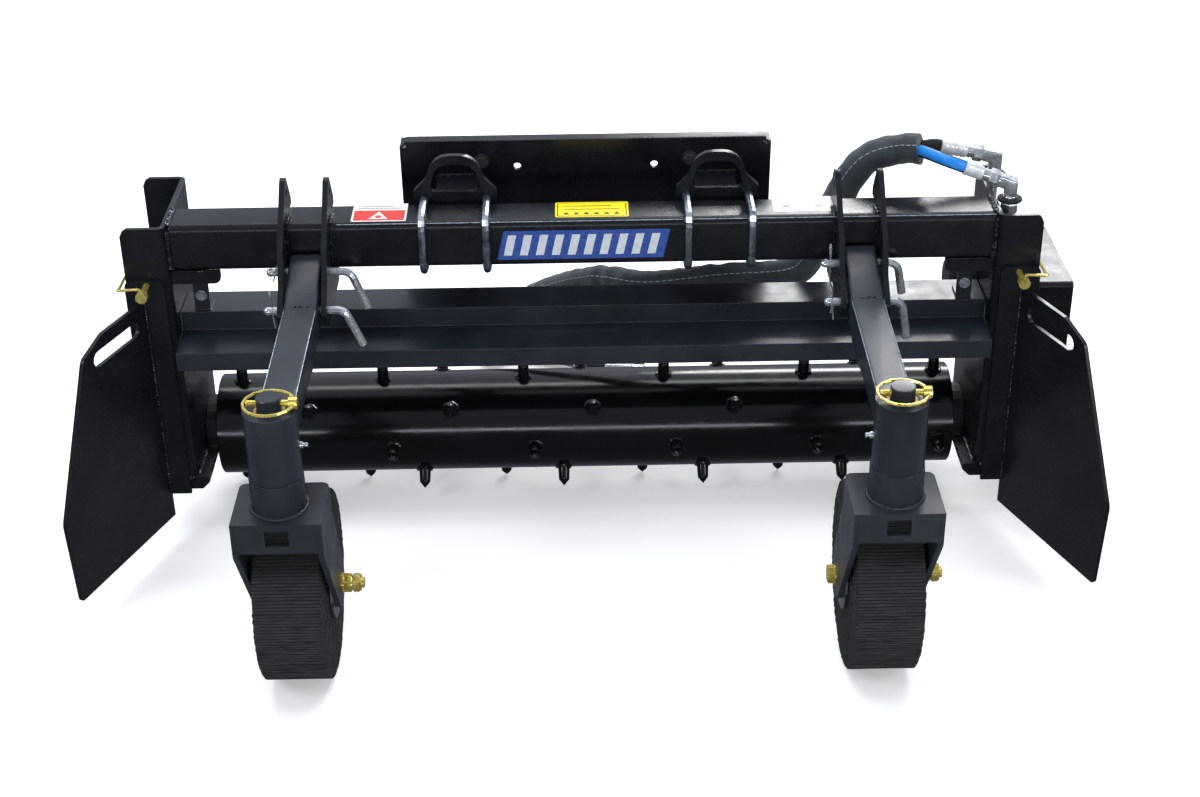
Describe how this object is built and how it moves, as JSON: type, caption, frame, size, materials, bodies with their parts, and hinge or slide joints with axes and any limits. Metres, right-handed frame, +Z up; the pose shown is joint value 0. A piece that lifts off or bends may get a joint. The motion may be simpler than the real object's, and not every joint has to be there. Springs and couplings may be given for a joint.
{
  "type": "hydraulic power rake",
  "caption": "Power rake for a compact carrier: box-beam frame over a toothed drum, chain drive, flared side shields and two swivelling gauge wheels.",
  "frame": {"origin": "on the ground under the middle of the machine's overall box, measured without the free hoses", "axes": "+X along the drum to the chain case, +Y toward the carrier, -Y toward the gauge wheels, +Z up"},
  "size_m": [1.5722, 1.1084, 0.6304],
  "materials": {
    "black_powder_coat": "satin black powder coat",
    "zinc_plate": "bright zinc plate",
    "yellow_zinc": "yellow chromate zinc",
    "bare_steel": "oiled bare steel",
    "cast_iron": "dark cast iron",
    "bronze": "sintered bronze",
    "laminated_rubber": "laminated recycled rubber",
    "hose_rubber": "matt hose rubber",
    "woven_sleeve": "woven nylon sleeve"
  },
  "bodies": {
    "frame": {"main_beam": "black_powder_coat", "hood": "black_powder_coat", "roller_chain": "bare_steel", "chain_case": "black_powder_coat", "chain_cover": "black_powder_coat", "motor": "cast_iron", "motor_line_front": "zinc_plate", "motor_line_rear": "zinc_plate", "hitch_plate": "black_powder_coat", "hose_sleeve": "woven_sleeve", "end_channel_left": "black_powder_coat", "side_shield_left": "black_powder_coat", "clamp_bracket_left": "black_powder_coat", "arm_plate_left_outer": "black_powder_coat", "arm_plate_left_inner": "black_powder_coat", "hitch_pin_left_upper": "zinc_plate", "hitch_pin_left_lower": "zinc_plate", "bearing_left": "cast_iron", "shield_pin_left": "yellow_zinc", "end_channel_right": "black_powder_coat", "side_shield_right": "black_powder_coat", "clamp_bracket_right": "black_powder_coat", "arm_plate_right_outer": "black_powder_coat", "arm_plate_right_inner": "black_powder_coat", "hitch_pin_right_upper": "zinc_plate", "hitch_pin_right_lower": "zinc_plate", "bearing_right": "cast_iron", "shield_pin_right": "yellow_zinc", "u_bolt_1": "zinc_plate", "u_bolt_2": "zinc_plate", "u_bolt_3": "zinc_plate", "u_bolt_4": "zinc_plate", "hose_front": "hose_rubber", "hose_tail_front": "hose_rubber", "coupler_front": "zinc_plate", "hose_rear": "hose_rubber", "hose_tail_rear": "hose_rubber", "coupler_rear": "zinc_plate"},
    "arm_left": {"gauge_arm_left": "black_powder_coat", "stem_bushing_left": "bronze"},
    "caster_left": {"caster_fork_left": "black_powder_coat", "axle_bolt_left": "yellow_zinc", "stem_pin_left": "yellow_zinc"},
    "wheel_left": {"tyre_left": "laminated_rubber", "rim_left": "bare_steel"},
    "stem_bail_left": {"stem_bail_left": "yellow_zinc"},
    "shield_bail_left": {"shield_bail_left": "yellow_zinc"},
    "arm_right": {"gauge_arm_right": "black_powder_coat", "stem_bushing_right": "bronze"},
    "caster_right": {"caster_fork_right": "black_powder_coat", "axle_bolt_right": "yellow_zinc", "stem_pin_right": "yellow_zinc"},
    "wheel_right": {"tyre_right": "laminated_rubber", "rim_right": "bare_steel"},
    "stem_bail_right": {"stem_bail_right": "yellow_zinc"},
    "shield_bail_right": {"shield_bail_right": "yellow_zinc"},
    "drum": {"drum": "black_powder_coat", "drum_shaft": "bare_steel", "driven_sprocket": "bare_steel"},
    "drive_sprocket": {"drive_sprocket": "bare_steel"}
  },
  "joints": [
    {"name": "drum_spin", "type": "hinge", "parent": "frame", "child": "drum", "pos_m": [0, 0.269, 0.11685], "axis": [1, 0, 0], "continuous": true},
    {"name": "motor_spin", "type": "hinge", "parent": "frame", "child": "drive_sprocket", "pos_m": [0.728, 0.258, 0.37], "axis": [1, 0, 0], "continuous": true},
    {"name": "arm_pivot_left", "type": "hinge", "parent": "frame", "child": "arm_left", "pos_m": [-0.424, 0.093, 0.4844], "axis": [1, 0, 0], "range_deg": [0, 10]},
    {"name": "caster_swivel_left", "type": "hinge", "parent": "arm_left", "child": "caster_left", "pos_m": [-0.424, -0.335, 0.44], "axis": [0, 0, 1], "continuous": true},
    {"name": "wheel_spin_left", "type": "hinge", "parent": "caster_left", "child": "wheel_left", "pos_m": [-0.424, -0.241, 0.1404], "axis": [1, 0, 0], "continuous": true},
    {"name": "stem_bail_lift_left", "type": "hinge", "parent": "caster_left", "child": "stem_bail_left", "pos_m": [-0.391, -0.335, 0.4994], "axis": [0, 1, 0], "range_deg": [0, 100]},
    {"name": "shield_bail_swing_left", "type": "hinge", "parent": "frame", "child": "shield_bail_left", "pos_m": [-0.672, 0.063, 0.4614], "axis": [0, 0, 1], "range_deg": [0, 100]},
    {"name": "arm_pivot_right", "type": "hinge", "parent": "frame", "child": "arm_right", "pos_m": [0.424, 0.093, 0.4844], "axis": [1, 0, 0], "range_deg": [0, 10]},
    {"name": "caster_swivel_right", "type": "hinge", "parent": "arm_right", "child": "caster_right", "pos_m": [0.424, -0.335, 0.44], "axis": [0, 0, 1], "continuous": true},
    {"name": "wheel_spin_right", "type": "hinge", "parent": "caster_right", "child": "wheel_right", "pos_m": [0.424, -0.241, 0.1404], "axis": [1, 0, 0], "continuous": true},
    {"name": "stem_bail_lift_right", "type": "hinge", "parent": "caster_right", "child": "stem_bail_right", "pos_m": [0.457, -0.335, 0.4994], "axis": [0, 1, 0], "range_deg": [0, 100]},
    {"name": "shield_bail_swing_right", "type": "hinge", "parent": "frame", "child": "shield_bail_right", "pos_m": [0.672, 0.063, 0.4614], "axis": [0, 0, -1], "range_deg": [0, 100]}
  ],
  "couplings": [
    {"joint": "motor_spin", "follows": "drum_spin", "ratio": 2}
  ]
}
